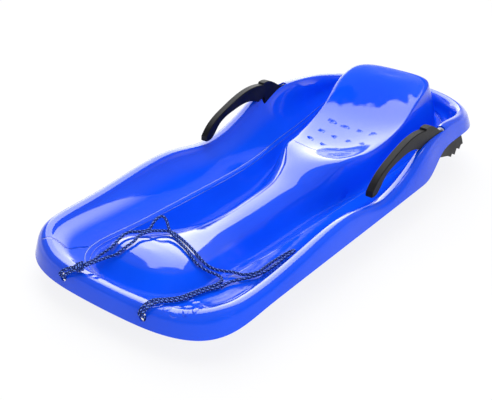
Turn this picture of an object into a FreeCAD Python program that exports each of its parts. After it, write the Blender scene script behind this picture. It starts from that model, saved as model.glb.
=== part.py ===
import FreeCAD, Part
import math
import os

from FreeCAD import Vector

# Snow sled with two hand brakes and a tow rope.
# Millimetres. Front toward -Y, up is +Z, the snow is the plane z = 0.

# Driving sizes of the moulded hull
length = 890.0
beam = 404.0
height = 150.0
wall = 3.5
half_beam = beam / 2

# Rolled rim: its width in plan from the skirt's lower edge to the inner wall. Its
# profile has shares of that width, of the rise from edge to crown and of the overshoot.
rim_width = 34.0
rim_profile_shares = (
    (0.0, 0.0, 0.0), (0.118, 0.5, 0.0), (0.235, 0.92, 0.0),
    (0.5, 1.0, 1.0), (0.794, 1.0, 0.0), (1.0, 1.0, 0.0),
)
front_inset_share = 0.8
rear_inset_share = 0.85
rim_drop_share = 0.33
rim_drop_limit = 15.0
rim_overshoot = 3.0

# Bow of the seat's front lip in plan
lip_bow = 26.0
lip_bow_spread = 40.0

# Two keels under the leg channels, flat where they stand on the snow
keel_offset = 72.0
keel_place = -28.0
keel_flat = 250.0
keel_run = 88.0
keel_rise = 24.0
keel_width = 14.0
keel_draft = 3.0
keel_depth = 44.0

# Brake levers: one moulding a side, turning on a cross pin inside the rim
lever_thickness = 13.0
lever_inset = 28.0
lever_place = half_beam - lever_inset
lever_span = 330.0
lever_edge = 1.5
lever_grip_share = 0.3
pivot_share = 0.225
pivot_place = pivot_share * length
pivot_height_share = 2 / 3
pivot_height = pivot_height_share * height
stem_share = 0.115
stem_front = stem_share * lever_span
rest_gap = 0.3
bore_fit = 0.06

# Cross pin and the two lugs that hold it, open below so that the pin snaps in
pin_diameter = 6.0
pin_length = 20.4
pin_chamfer = 0.6
lug_clearance = 0.8
lug_thickness = 3.5
lug_radius = 9.0
lug_height = 40.0
lug_throat = 4.8

# Slot in the rim's crown that each lever passes through, and the lever's heel ahead of it
slot_gap = 2.5
slot_front = stem_front + slot_gap
slot_rear_share = 0.103
slot_rear = slot_rear_share * lever_span
slot_end_radius = 3.0
slot_drop = 14.0
slot_low = pivot_height - slot_drop
heel_gap = 2.0
heel_step = 7.5
heel_places = [pivot_place - slot_front - heel_gap - heel_step * k for k in (2, 1, 0)]

# Tow rope, its knots and its two holes in the front lip
rope_diameter = 5.0
rope_sides = 8
rope_hole_diameter = 13.0
rope_hole_offset = 79.0
rope_hole_inset = 7.0
rope_hole_place = rope_hole_inset - length / 2
rope_hole_height_share = 0.35
rope_hole_height = rope_hole_height_share * height
rope_hole_depth = 17.0
rope_hole_tilt = 18.0
knot_core_radius = 5.6
knot_sides = 16
bend_share = 0.45

# One length past a face, for every cut
overrun = 30.0

# A uniform cubic curve: its degree and its weights on a guide point and half way
degree = 3
ON_POINT = (1 / 6, 2 / 3, 1 / 6)
HALF_WAY = (1 / 48, 23 / 48, 23 / 48, 1 / 48)
THIRD_WAY = (2 / 3, 1 / 3)
QUARTER = math.pi / 2

# Nine sections along the side of the hull, as shares of its length
section_shares = (-0.36, -0.286, -0.168, 0.0, 0.056, 0.11, 0.168, 0.27, 0.337)
FIRST = section_shares[0]
LAST = section_shares[-1]
SEAT_LIP = 5

# Columns of the surface between the first and the last section
column_shares = (
    -0.36, -0.328, -0.294, -0.258, -0.213, -0.163, -0.107, -0.05, 0.0, 0.039, 0.067,
    0.088, 0.101, 0.115, 0.133, 0.163, 0.197, 0.23, 0.26, 0.288, 0.312, 0.337,
)
corner_columns = 8

# Heights of the rim's crown and of the skirt's edge, and the outline's half width:
# places as shares of the length, values as shares of the height or the half beam
crown_shares = (
    (-0.501, 0.413), (-0.472, 0.44), (-0.449, 0.487), (-0.418, 0.52), (-0.344, 0.527),
    (-0.244, 0.567), (-0.182, 0.613), (-0.115, 0.627), (-0.045, 0.547), (0.004, 0.493),
    (0.056, 0.527), (0.113, 0.633), (0.17, 0.78), (0.225, 0.82), (0.264, 0.827),
    (0.363, 0.76), (0.449, 0.713), (0.498, 0.707),
)
edge_shares = (
    (-0.501, 0.247), (-0.472, 0.267), (-0.427, 0.333), (-0.371, 0.4), (0.174, 0.407),
    (0.208, 0.56), (0.242, 0.633), (0.337, 0.613), (0.498, 0.533),
)
outline_shares = (
    (-0.501, 1.02), (-0.371, 1.015), (0.168, 1.0), (0.225, 0.96), (0.337, 0.93), (0.498, 0.93),
)

# Rings of the hull inward of the rim. Each has its front and rear end as shares
# of the length, its half widths at the nine sections as shares of the half beam,
# and its heights at the front end, the nine sections and the rear end as shares
# of the height.
ring_shares = {
    "crease_outer": (
        -0.466, 0.465,
        (0.515, 0.52, 0.53, 0.53, 0.545, 0.565, 0.59, 0.615, 0.635),
        (0.395, 0.36, 0.32, 0.287, 0.267, 0.267, 0.28, 0.3, 0.347, 0.4, 0.507),
    ),
    "crease_inner": (
        -0.461, 0.462,
        (0.495, 0.5, 0.515, 0.515, 0.53, 0.545, 0.57, 0.6, 0.62),
        (0.38, 0.347, 0.307, 0.267, 0.247, 0.247, 0.26, 0.28, 0.327, 0.38, 0.487),
    ),
    "channel_outer": (
        -0.456, 0.457,
        (0.475, 0.46, 0.46, 0.46, 0.48, 0.505, 0.535, 0.57, 0.59),
        (0.38, 0.333, 0.253, 0.153, 0.14, 0.153, 0.18, 0.227, 0.293, 0.36, 0.473),
    ),
    "channel_floor": (
        -0.449, 0.452,
        (0.45, 0.415, 0.375, 0.38, 0.415, 0.455, 0.485, 0.525, 0.555),
        (0.4, 0.347, 0.227, 0.067, 0.067, 0.093, 0.12, 0.2, 0.28, 0.36, 0.493),
    ),
    "flank_foot": (
        -0.441, 0.445,
        (0.425, 0.375, 0.297, 0.307, 0.36, 0.415, 0.45, 0.49, 0.52),
        (0.433, 0.387, 0.267, 0.047, 0.06, 0.1, 0.16, 0.24, 0.347, 0.453, 0.587),
    ),
    "flank": (
        -0.431, 0.437,
        (0.395, 0.327, 0.228, 0.248, 0.317, 0.386, 0.415, 0.455, 0.485),
        (0.473, 0.427, 0.32, 0.147, 0.173, 0.267, 0.333, 0.4, 0.493, 0.68, 0.8),
    ),
    "crest_outer": (
        -0.419, 0.427,
        (0.356, 0.267, 0.163, 0.188, 0.257, 0.337, 0.371, 0.42, 0.445),
        (0.513, 0.473, 0.367, 0.247, 0.28, 0.373, 0.5, 0.493, 0.613, 0.88, 1.0),
    ),
    "crest_inner": (
        -0.405, 0.413,
        (0.287, 0.188, 0.1, 0.129, 0.198, 0.287, 0.322, 0.376, 0.396),
        (0.547, 0.52, 0.413, 0.307, 0.34, 0.447, 0.533, 0.5, 0.587, 0.893, 1.02),
    ),
    "pan": (
        -0.391, 0.396,
        (0.139, 0.08, 0.05, 0.07, 0.109, 0.149, 0.158, 0.188, 0.208),
        (0.567, 0.547, 0.447, 0.333, 0.373, 0.487, 0.513, 0.44, 0.54, 0.827, 1.0),
    ),
    "spine": (
        -0.384, 0.387,
        (0.0, 0.0, 0.0, 0.0, 0.0, 0.0, 0.0, 0.0, 0.0),
        (0.567, 0.547, 0.453, 0.333, 0.38, 0.493, 0.513, 0.427, 0.527, 0.807, 0.987),
    ),
}
# The wall between crease and rim: share of the width and share of the rise
wall_shares = ((0.62, 0.42), (0.28, 0.12))

# Fullness of the plan corners, 2 is an ellipse
RIM_FRONT = 3.1
WALL_FRONT = 2.8
RIM_REAR = 2.1
FLOOR_FRONT = 2.4
BACKREST = 3.4

# Rings with a further edge half way to the next
rim_halved = (0, 1, 2, 3, 4)

# Side view of a lever from its pivot, forward and up, as shares of its whole span.
# The top of the handle from its tip, the underside from the tip, the claw with its
# teeth, and the way back along the top of the claw.
handle_top_shares = (
    (-0.639, -0.009), (-0.594, 0.036), (-0.455, 0.1), (-0.273, 0.145), (-0.127, 0.136),
)
shoulder_top_shares = ((-0.121, 0.145), (-0.067, 0.142), (0.0, 0.106), (0.073, 0.064))
handle_under_shares = (
    (-0.642, -0.039), (-0.594, -0.036), (-0.539, 0.015), (-0.394, 0.067), (-0.303, 0.076),
    (-0.212, 0.061),
)
claw_under_shares = (
    (-0.106, -0.003), (-0.076, -0.036), (0.042, -0.085), (0.182, -0.124), (0.218, -0.145),
    (0.233, -0.118), (0.264, -0.148), (0.282, -0.112), (0.318, -0.133), (0.333, -0.112),
    (0.358, -0.112), (0.339, -0.076), (0.312, -0.033),
)
claw_top_shares = ((0.312, -0.033), (0.212, -0.003), (0.091, 0.027), (0.079, 0.058))

# Routes of the rope in its centre line: two long strands from the knot behind the far
# hole over the nose to the knot under the near hole, and two short tails through the
# far hole
strand_1_route = (
    (-49, -427, 76), (-43, -409, 77.5), (-46, -387, 72), (-30, -375, 79), (-28, -361, 85),
    (-25, -344, 88.5), (-33, -326, 88), (-29, -307, 87), (-30, -288, 79), (-15, -273, 76),
    (15, -284, 78), (46, -294, 76), (74, -305, 71), (84, -297, 60), (95, -286, 54.5),
    (111, -280, 56.5), (130, -283, 60), (150, -273, 67), (144, -247, 63), (145, -218, 62.5),
    (154, -197, 69), (168, -205, 79), (161, -228, 73), (163, -252, 73), (158, -276, 70),
    (140, -293, 63), (124, -308, 59.5), (125, -328, 61), (113, -347, 61), (109, -368, 62),
    (105, -388, 64), (95, -406, 67), (90, -422, 73.5), (87, -437, 70.5), (84, -444.5, 61.5),
    (82, -438, 53), (82, -429, 45),
)
strand_2_route = (
    (-54, -424, 76), (-51, -405, 74), (-60, -385, 69.5), (-49, -367, 80), (-54, -349, 83),
    (-57, -326, 85), (-46, -314, 83), (-38, -298, 81), (-45, -282, 87), (-42, -266, 92),
    (-29, -269, 89), (-12, -283, 82), (17, -293, 80), (44, -304, 79), (69, -317, 75),
    (84, -312, 65), (96, -301, 57), (112, -305, 57.5), (116, -325, 60), (106, -345, 59.5),
    (101, -367, 60.5), (97, -386, 62.5), (86, -403, 65), (83, -420, 73), (80, -435.5, 71),
    (77.5, -444, 61), (76, -438, 52.5), (76, -429, 45),
)
tail_1_route = (
    (-82, -429, 45), (-82, -438, 53), (-79, -445.5, 63), (-68.5, -438, 72.5), (-57, -429.5, 75),
)
tail_2_route = (
    (-76, -429, 45), (-76, -438, 52.5), (-72, -445, 59.5), (-62.5, -441.5, 69.5),
    (-52.5, -432.5, 74.5),
)
# Knots: centre, a point on the axis, and turns of rope
far_knot_place = ((-53, -428, 75.5), (-42, -411, 78.5))
far_end_place = ((-79, -425.5, 42.5), (-79, -438, 52.5))
near_end_place = ((79, -425.5, 42.5), (79, -438, 52.5))
far_knot_turns = 3
end_knot_turns = 2


def ease(place, places, values):
    """Smooth curve through the values with no overshoot between them."""
    if place <= places[0]:
        return values[0]
    if place >= places[-1]:
        return values[-1]
    spans = range(len(places) - 1)
    slopes = [(values[k + 1] - values[k]) / (places[k + 1] - places[k]) for k in spans]
    tangents = [slopes[0]]
    for before, after in zip(slopes, slopes[1:]):
        level = before * after <= 0
        tangents.append(0.0 if level else 2 * before * after / (before + after))
    tangents.append(slopes[-1])
    k = max(k for k in spans if place >= places[k])
    span = places[k + 1] - places[k]
    t = (place - places[k]) / span
    start = (2 * t**3 - 3 * t**2 + 1) * values[k] + (t**3 - 2 * t**2 + t) * span * tangents[k]
    end = (3 * t**2 - 2 * t**3) * values[k + 1] + (t**3 - t**2) * span * tangents[k + 1]
    return start + end


def along(shares, y, scale):
    """Value at y of a table of (place, value) shares."""
    return scale * ease(y / length, [s[0] for s in shares], [s[1] for s in shares])


def crown_height(y):
    return along(crown_shares, y, height)


def edge_height(y):
    return along(edge_shares, y, height)


def outline_half_width(y):
    return along(outline_shares, y, half_beam)


def ring_points(front, rear, half_width, level, front_fullness, rear_fullness, bow=0.0):
    """One ring of the hull, from the front centre round the left side to the rear."""
    first = FIRST * length
    last = LAST * length
    points = []
    for k in range(corner_columns):
        turn = QUARTER * k / corner_columns
        x = half_width(first) * math.sin(turn) ** (2 / front_fullness)
        y = first - (first - front) * math.cos(turn) ** (2 / front_fullness)
        points.append(Vector(x, y, level(y)))
    for share in column_shares:
        y = share * length
        from_lip = (share - section_shares[SEAT_LIP]) * length / lip_bow_spread
        points.append(Vector(half_width(y), y - bow * math.exp(-from_lip**2), level(y)))
    for k in range(1, corner_columns + 1):
        turn = QUARTER * k / corner_columns
        x = half_width(last) * math.cos(turn) ** (2 / rear_fullness)
        y = last + (rear - last) * math.sin(turn) ** (2 / rear_fullness)
        points.append(Vector(x if k < corner_columns else 0.0, y, level(y)))
    return points


def ring_level(row, y):
    """Height of an inner ring at y, with its ends carried round the two ends."""
    front, rear, widths, levels = row
    if y < FIRST * length:
        t = (y / length - front) / (FIRST - front)
        return height * (levels[0] + (levels[1] - levels[0]) * t)
    if y > LAST * length:
        t = (y / length - LAST) / (rear - LAST)
        rise = levels[-1] - levels[-2]
        return height * (levels[-2] + rise * math.sin(QUARTER * min(t, 1.0)))
    return height * ease(y / length, section_shares, levels[1:-1])


def ring_width(row, y):
    return half_beam * ease(y / length, section_shares, row[2])


def wall_top(y):
    """Height where the rolled rim turns into the inner wall."""
    rise = crown_height(y) - ring_level(ring_shares["crease_outer"], y)
    return crown_height(y) - min(rim_drop_limit, rim_drop_share * rise)


def rim_rings():
    """Rings from the skirt's lower edge over the crown to the top of the inner wall."""
    rings = []
    for across, share, over in rim_profile_shares:
        inset = across * rim_width
        extra = over * rim_overshoot
        rings.append(ring_points(
            inset * front_inset_share - length / 2, length / 2 - inset * rear_inset_share,
            lambda y: outline_half_width(y) - inset,
            lambda y: edge_height(y) + share * (crown_height(y) - edge_height(y)) + extra,
            RIM_FRONT, RIM_REAR,
        ))
    rings[-1] = [Vector(point.x, point.y, wall_top(point.y)) for point in rings[-1]]
    return rings


def wall_rings():
    """Rings down the inner wall, between the rim and the crease."""
    crease = ring_shares["crease_outer"]
    crease_front = crease[0] * length
    crease_rear = crease[1] * length
    front = rim_width * front_inset_share - length / 2
    rear = length / 2 - rim_width * rear_inset_share
    rings = []
    for out, up in wall_shares:
        rings.append(ring_points(
            crease_front + out * (front - crease_front),
            crease_rear + out * (rear - crease_rear),
            lambda y: ring_width(crease, y) + out * (half_beam - rim_width - ring_width(crease, y)),
            lambda y: ring_level(crease, y) + up * (wall_top(y) - ring_level(crease, y)),
            WALL_FRONT, RIM_REAR,
        ))
    return rings


def hull_rings():
    """All rings from the skirt's edge to the spine."""
    rings = rim_rings() + wall_rings()
    crest_width = ring_shares["crest_outer"][2][SEAT_LIP]
    for name, row in ring_shares.items():
        share = row[2][SEAT_LIP] / crest_width
        bow = lip_bow * max(0.0, 1 - share**2)
        low = name.startswith(("crease", "channel"))
        rings.append(ring_points(
            row[0] * length, row[1] * length,
            lambda y: ring_width(row, y),
            lambda y: ring_level(row, y),
            FLOOR_FRONT, FLOOR_FRONT if low else BACKREST, bow,
        ))
    return rings


def mirrored(point):
    return Vector(-point.x, point.y, point.z)


def mix(points, weights):
    """Weighted sum of a few points."""
    total = Vector()
    for point, weight in zip(points, weights):
        total = total + point * weight
    return total


def with_ghosts(rings):
    """Rings with one more column and ring on every side, so that both halves meet smoothly."""
    grid = [[mirrored(ring[1])] + ring + [mirrored(ring[-2])] for ring in rings]
    before = [a + a - b for a, b in zip(grid[0], grid[1])]
    after = [mirrored(point) for point in grid[-2]]
    return [before] + grid + [after]


def inner_rings(rings, depth):
    """The same rings moved square to the surface, into the wall."""
    grid = with_ghosts(rings)
    moved = []
    for i in range(1, len(grid) - 1):
        row = []
        for j in range(1, len(grid[0]) - 1):
            across = grid[i + 1][j] - grid[i - 1][j]
            around = grid[i][j + 1] - grid[i][j - 1]
            normal = around.cross(across)
            if normal.Length < wall:
                normal = Vector(0, 0, wall)
            normal.normalize()
            row.append(grid[i][j] - normal * depth)
        moved.append(row)
    return moved


def ring_edge(points):
    """Smooth edge guided by a row of points that has a ghost at each end."""
    start = mix(points[:3], ON_POINT)
    end = mix(points[-3:], ON_POINT)
    after_start = mix(points[1:3], THIRD_WAY)
    before_end = mix(points[-2:-4:-1], THIRD_WAY)
    poles = [start, after_start] + points[2:-2] + [before_end, end]
    knots = list(range(len(poles) - degree + 1))
    mults = [degree + 1] + [1] * (len(knots) - 2) + [degree + 1]
    curve = Part.BSplineCurve()
    curve.buildFromPolesMultsKnots(poles, mults, knots, False, degree)
    return curve.toShape()


def skin_edges(rings, halved=()):
    """Edges round the left half of a skin, one a ring and one more half way after some rings."""
    grid = with_ghosts(rings)
    edges = []
    for k in range(len(rings)):
        edges.append(ring_edge([mix(three, ON_POINT) for three in zip(*grid[k:k + 3])]))
        if k in halved:
            edges.append(ring_edge([mix(four, HALF_WAY) for four in zip(*grid[k:k + 4])]))
    return edges


def strips(edges):
    return [Part.makeRuledSurface(a, b) for a, b in zip(edges, edges[1:])]


def mirror_shape(shape):
    return shape.mirror(Vector(0, 0, 0), Vector(1, 0, 0))


def solid_from(faces):
    shell = Part.makeShell(faces)
    shell.sewShape()
    solid = Part.makeSolid(shell)
    if solid.Volume < 0:
        solid.reverse()
    return solid


def hull_wall(rings):
    """The moulded wall: outer skin, inner skin and the skirt's lower edge between them."""
    outer = skin_edges(rings, halved=rim_halved)
    inner = skin_edges(inner_rings(rings, wall))
    faces = strips(outer) + strips(inner) + strips([outer[0], inner[0]])
    return solid_from(faces + [mirror_shape(face) for face in faces])


def under_skin(rings, depth):
    """Everything below a skin inside the wall, which trims what stands on the underside."""
    middle = inner_rings(rings, depth)
    floor_points = [Vector(p.x, p.y, -overrun) for p in with_ghosts(middle)[1]]
    flat = ring_edge(floor_points)
    faces = strips([flat] + skin_edges(middle))
    bottom = Part.Face(Part.Wire([flat, mirror_shape(flat)]))
    return solid_from(faces + [mirror_shape(face) for face in faces] + [bottom])


def plate(points, x, thickness):
    """A flat plate from (y, z) points, from x in +X."""
    wire = Part.makePolygon([Vector(x, y, z) for y, z in points + points[:1]])
    return Part.Face(wire).extrude(Vector(thickness, 0, 0))


def keel():
    """The left keel before its top is trimmed to the hull."""
    half_flat = keel_flat / 2
    end = half_flat + keel_run
    side = [(-end, keel_rise), (-half_flat, 0), (half_flat, 0), (end, keel_rise)]
    side += [(end, keel_depth), (-end, keel_depth)]
    placed = [(keel_place + y, z) for y, z in side]
    foot = keel_width / 2
    top = foot + keel_draft
    outline = [(-foot, 0), (foot, 0), (top, keel_depth), (-top, keel_depth)]
    corners = [Vector(keel_offset + x, keel_place - end, z) for x, z in outline + outline[:1]]
    bar = Part.Face(Part.makePolygon(corners)).extrude(Vector(0, end + end, 0))
    return bar.common(plate(placed, keel_offset - top, top + top))


def cross_cylinder(diameter, x, reach):
    """A cylinder along the left pivot line, from x in +X."""
    start = Vector(x, pivot_place, pivot_height)
    return Part.makeCylinder(diameter / 2, reach, start, Vector(1, 0, 0))


def lug(x):
    """One lug of the left lever, before its top is trimmed: round foot, bore and throat."""
    foot = cross_cylinder(2 * lug_radius, x, lug_thickness)
    body = Part.makeBox(
        lug_thickness, 2 * lug_radius, lug_height,
        Vector(x, pivot_place - lug_radius, pivot_height),
    )
    throat = Part.makeBox(
        lug_thickness, lug_throat, lug_radius + overrun,
        Vector(x, pivot_place - lug_throat / 2, pivot_height - lug_radius - overrun),
    )
    bore = cross_cylinder(pin_diameter, x, lug_thickness)
    return body.fuse(foot).cut(bore).cut(throat)


def lug_starts():
    """Where the inner and the outer lug of the left lever begin in X."""
    reach = lever_thickness / 2 + lug_clearance
    return (lever_place - reach - lug_thickness, lever_place + reach)


def lever_slot():
    """The cut in the left crown, as wide as the space between the lugs."""
    reach = lever_thickness / 2 + lug_clearance
    depth = slot_front + slot_rear
    corner = Vector(lever_place - reach, pivot_place - slot_front, slot_low)
    box = Part.makeBox(reach + reach, depth, height + overrun - slot_low, corner)
    upright = [edge for edge in box.Edges if edge.BoundBox.ZLength > depth]
    return box.makeFillet(slot_end_radius, upright)


def rope_hole(side):
    """The cut for one rope hole, square to the lip's face and no deeper than the skirt."""
    tilt = math.radians(rope_hole_tilt)
    outward = Vector(0, -math.cos(tilt), math.sin(tilt))
    centre = Vector(side * rope_hole_offset, rope_hole_place, rope_hole_height)
    return Part.makeCylinder(
        rope_hole_diameter / 2, rope_hole_depth + overrun,
        centre - outward * rope_hole_depth, outward,
    )


def hull_shell():
    rings = hull_rings()
    trim = under_skin(rings, wall / 2)
    left = [keel()] + [lug(x) for x in lug_starts()]
    standing = [part.common(trim) for part in left]
    standing += [mirror_shape(part) for part in standing]
    body = hull_wall(rings)
    slot = lever_slot()
    body = body.cut([slot, mirror_shape(slot), rope_hole(1), rope_hole(-1)])
    return body.fuse(standing)


def lever_points(shares):
    return [
        Vector(lever_place - lever_thickness / 2, pivot_place + y * lever_span,
               pivot_height + z * lever_span)
        for y, z in shares
    ]


def smooth_edge(points):
    curve = Part.BSplineCurve()
    curve.interpolate(points)
    return curve.toShape()


def chain(points):
    """Straight edges through the points."""
    return [Part.LineSegment(a, b).toShape() for a, b in zip(points, points[1:])]


def brake_lever(rim_top):
    """The left lever. Its heel stands a small gap above the rim ahead of the slot."""
    top = lever_points(handle_top_shares)
    shoulder = lever_points(shoulder_top_shares)
    under = lever_points(handle_under_shares)
    claw = lever_points(claw_under_shares)
    back = lever_points(claw_top_shares)
    side = lever_place - lever_thickness / 2
    heel = [Vector(side, y, rim_top(y) + rest_gap) for y in heel_places]
    reach = (pivot_place - stem_front - heel[-1].y) / heel_step
    heel.append(heel[-1] + (heel[-1] - heel[-2]) * reach)
    edges = [smooth_edge(top)] + chain([top[-1], shoulder[0]]) + [smooth_edge(shoulder)]
    edges += chain([shoulder[-1], back[-1]]) + [smooth_edge(back[::-1])]
    edges += chain(claw[::-1] + heel[::-1] + under[-1:])
    edges += [smooth_edge(under[::-1])] + chain([under[0], top[0]])
    face = Part.Face(Part.Wire(Part.__sortEdges__(edges)))
    body = face.extrude(Vector(lever_thickness, 0, 0))
    grip = [edge for edge in body.Edges if edge.Length > lever_grip_share * lever_span]
    body = body.makeFillet(lever_edge, [edge for edge in grip if edge.BoundBox.YMax < pivot_place])
    bore = cross_cylinder(pin_diameter + 2 * bore_fit, side, lever_thickness)
    return body.cut(bore)


def pivot_pin():
    pin = cross_cylinder(pin_diameter, lever_place - pin_length / 2, pin_length)
    return pin.makeChamfer(pin_chamfer, [edge for edge in pin.Edges if edge.Closed])


def rim_top(body, y):
    """Highest point of the left rim under the lever at y."""
    half = lever_thickness / 2
    tops = []
    for x in (lever_place - half, lever_place, lever_place + half):
        line = Part.makeLine(Vector(x, y, pivot_height), Vector(x, y, height))
        tops.append(line.common(body).BoundBox.ZMax)
    return max(tops)


def flat_sided(radius, sides, level=0.0):
    """Corners of a level polygon that has the area of a circle, closed on its first corner."""
    step = 2 * math.pi / sides
    reach = radius * math.sqrt(step / math.sin(step))
    turns = [step * (k % sides) for k in range(sides + 1)]
    return [Vector(reach * math.cos(turn), reach * math.sin(turn), level) for turn in turns]


def rope(name, route):
    """A rope along a route: straight runs joined by arcs, and its smallest radius."""
    points = [Vector(*place) for place in route]
    edges = []
    radii = []
    reached = points[0]
    for before, corner, after in zip(points, points[1:], points[2:]):
        back = before - corner
        ahead = after - corner
        cut = bend_share * min(back.Length, ahead.Length)
        half_turn = (math.pi - back.getAngle(ahead)) / 2
        radius = cut / math.tan(half_turn)
        radii.append(radius)
        back.normalize()
        ahead.normalize()
        start = corner + back * cut
        end = corner + ahead * cut
        inward = (back + ahead).normalize()
        middle = corner + inward * (math.hypot(radius, cut) - radius)
        edges.append(Part.LineSegment(reached, start).toShape())
        edges.append(Part.Arc(start, middle, end).toShape())
        reached = end
    edges.append(Part.LineSegment(reached, points[-1]).toShape())
    path = Part.Wire(edges)
    to_axis = FreeCAD.Rotation(Vector(0, 0, 1), points[1] - points[0])
    corners = flat_sided(rope_diameter / 2, rope_sides)
    section = Part.makePolygon([points[0] + to_axis.multVec(corner) for corner in corners])
    tube = path.makePipeShell([section], True, False)
    share = tube.Volume / (path.Length * math.pi * rope_diameter**2 / 4)
    smallest = sorted(round(radius) for radius in radii)
    print(name, "length", round(path.Length), "volume share", round(share, 3), "radii", smallest)
    return tube


def knot(place, turns):
    """Turns of rope side by side round a short core, along the knot's axis."""
    centre = Vector(*place[0])
    axis = Vector(*place[1]) - centre
    radius = rope_diameter / 2
    steps = rope_sides // 2
    rings = []
    for k in range(turns * steps + 1):
        angle = 2 * QUARTER * (k % steps) / steps
        middle = radius * (2 * (k // steps) + 1 - turns)
        level = middle - radius * math.cos(angle)
        reach = knot_core_radius + radius * math.sin(angle)
        rings.append(flat_sided(reach, knot_sides, level))
    outlines = [rings[0], rings[-1]]
    for low, high in zip(rings, rings[1:]):
        for k in range(knot_sides):
            outlines.append([low[k], low[k + 1], high[k + 1], high[k], low[k]])
    body = solid_from([Part.Face(Part.makePolygon(outline)) for outline in outlines])
    body.Placement = FreeCAD.Placement(centre, FreeCAD.Rotation(Vector(0, 0, 1), axis))
    return body


def all_parts():
    hull = hull_shell()
    lever = brake_lever(lambda y: rim_top(hull, y))
    pin = pivot_pin()
    return {
        "hull_shell": hull,
        "brake_lever_left": lever,
        "brake_lever_right": mirror_shape(lever),
        "pivot_pin_left": pin,
        "pivot_pin_right": mirror_shape(pin),
        "tow_rope_strand_1": rope("strand 1", strand_1_route),
        "tow_rope_strand_2": rope("strand 2", strand_2_route),
        "tow_rope_tail_1": rope("tail 1", tail_1_route),
        "tow_rope_tail_2": rope("tail 2", tail_2_route),
        "far_rope_knot": knot(far_knot_place, far_knot_turns),
        "far_end_knot": knot(far_end_place, end_knot_turns),
        "near_end_knot": knot(near_end_place, end_knot_turns),
    }


if __name__ == "__main__":
    os.makedirs("parts", exist_ok=True)
    for name, shape in all_parts().items():
        if shape.ShapeType == "Compound" and len(shape.Solids) == 1:
            shape = shape.Solids[0]
        print(name, shape.isValid(), shape.ShapeType, round(shape.Volume))
        shape.exportStep("parts/" + name + ".step")
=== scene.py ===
import logging
import math
from collections.abc import Callable
from dataclasses import dataclass, field
from enum import Enum

import bpy
import numpy as np
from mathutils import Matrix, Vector
from mathutils.bvhtree import BVHTree


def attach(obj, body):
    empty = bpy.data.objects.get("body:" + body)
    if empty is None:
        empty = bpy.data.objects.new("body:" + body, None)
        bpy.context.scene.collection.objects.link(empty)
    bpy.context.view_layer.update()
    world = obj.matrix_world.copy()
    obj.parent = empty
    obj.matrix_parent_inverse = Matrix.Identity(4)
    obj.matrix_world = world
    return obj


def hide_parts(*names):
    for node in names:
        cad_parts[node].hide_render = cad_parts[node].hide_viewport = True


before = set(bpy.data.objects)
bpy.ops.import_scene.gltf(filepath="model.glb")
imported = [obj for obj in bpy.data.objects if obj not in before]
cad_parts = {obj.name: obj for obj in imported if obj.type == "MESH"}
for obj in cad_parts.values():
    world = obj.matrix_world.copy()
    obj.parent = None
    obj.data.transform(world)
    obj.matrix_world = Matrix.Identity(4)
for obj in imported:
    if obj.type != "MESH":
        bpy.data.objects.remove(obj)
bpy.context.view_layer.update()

log = logging.getLogger("snow_sled")

Point = tuple[float, float, float]
Colour = tuple[float, float, float, float]
Socket = bpy.types.NodeSocket
MM = 0.001
MERGE_WITHIN = 0.01 * MM
PLUMB_HEIGHT = 300.0 * MM
NOISE_MEAN = 0.5
WHITE: Colour = (1.0, 1.0, 1.0, 1.0)
SLED = "sled"


class Side(Enum):
    """Side of the sled that a piece is on, with the sign of its X."""

    LEFT = 1
    RIGHT = -1


class Slot(Enum):
    """Two material slot names, one for the hull and one for the rope."""

    HULL = "hull_plastic"
    ROPE = "rope_braid"


# Small helpers for modelling


def only(obj: bpy.types.Object) -> None:
    """Selects one object and makes it active.

    Args:
        obj: The object to work on.
    """
    bpy.ops.object.select_all(action="DESELECT")
    obj.select_set(True)
    bpy.context.view_layer.objects.active = obj


def settle(obj: bpy.types.Object) -> None:
    """Applies an object's place, turn and scale to its mesh, so that it sits at the origin."""
    only(obj)
    bpy.ops.object.transform_apply(location=True, rotation=True, scale=True)


def finish_modifiers(obj: bpy.types.Object) -> None:
    """Applies every modifier of an object, in order.

    Args:
        obj: The object.
    """
    only(obj)
    for name in [modifier.name for modifier in obj.modifiers]:
        bpy.ops.object.modifier_apply(modifier=name)


def primitive(name: str, operator: Callable[..., set[str]], **settings: object) -> bpy.types.Object:
    """Adds one of Blender's primitives, with its place, turn and scale in its mesh.

    Args:
        name: The name for its object and its mesh.
        operator: The operator that adds it.
        **settings: The operator's own settings.

    Returns:
        The object.
    """
    bpy.ops.object.select_all(action="DESELECT")
    operator(**settings)
    obj = bpy.context.active_object
    obj.name = name
    obj.data.name = name
    settle(obj)
    return obj


def coordinates(mesh: bpy.types.Mesh) -> np.ndarray:
    """Reads a mesh's vertices.

    Args:
        mesh: The mesh.

    Returns:
        One row of X, Y and Z a vertex.
    """
    flat = np.empty(len(mesh.vertices) * 3)
    mesh.vertices.foreach_get("co", flat)
    return flat.reshape(-1, 3)


def place_vertices(mesh: bpy.types.Mesh, points: np.ndarray) -> None:
    """Puts a mesh's vertices at the given rows of X, Y and Z."""
    mesh.vertices.foreach_set("co", np.asarray(points, dtype=float).ravel())
    mesh.update()


def write_attribute(mesh: bpy.types.Mesh, name: str, values: np.ndarray) -> None:
    """Writes one number a vertex to a new attribute of a mesh."""
    attribute = mesh.attributes.new(name, "FLOAT", "POINT")
    attribute.data.foreach_set("value", values.astype(np.float32))


def boolean(obj: bpy.types.Object, tool: bpy.types.Object, operation: str) -> None:
    """Cuts or joins an object with a tool, and removes the tool.

    Args:
        obj: The object that stays.
        tool: The closed object that cuts or joins.
        operation: DIFFERENCE, UNION or INTERSECT.
    """
    modifier = obj.modifiers.new("cut", "BOOLEAN")
    modifier.object = tool
    modifier.operation = operation
    modifier.solver = "EXACT"
    finish_modifiers(obj)
    bpy.data.objects.remove(tool)


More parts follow.
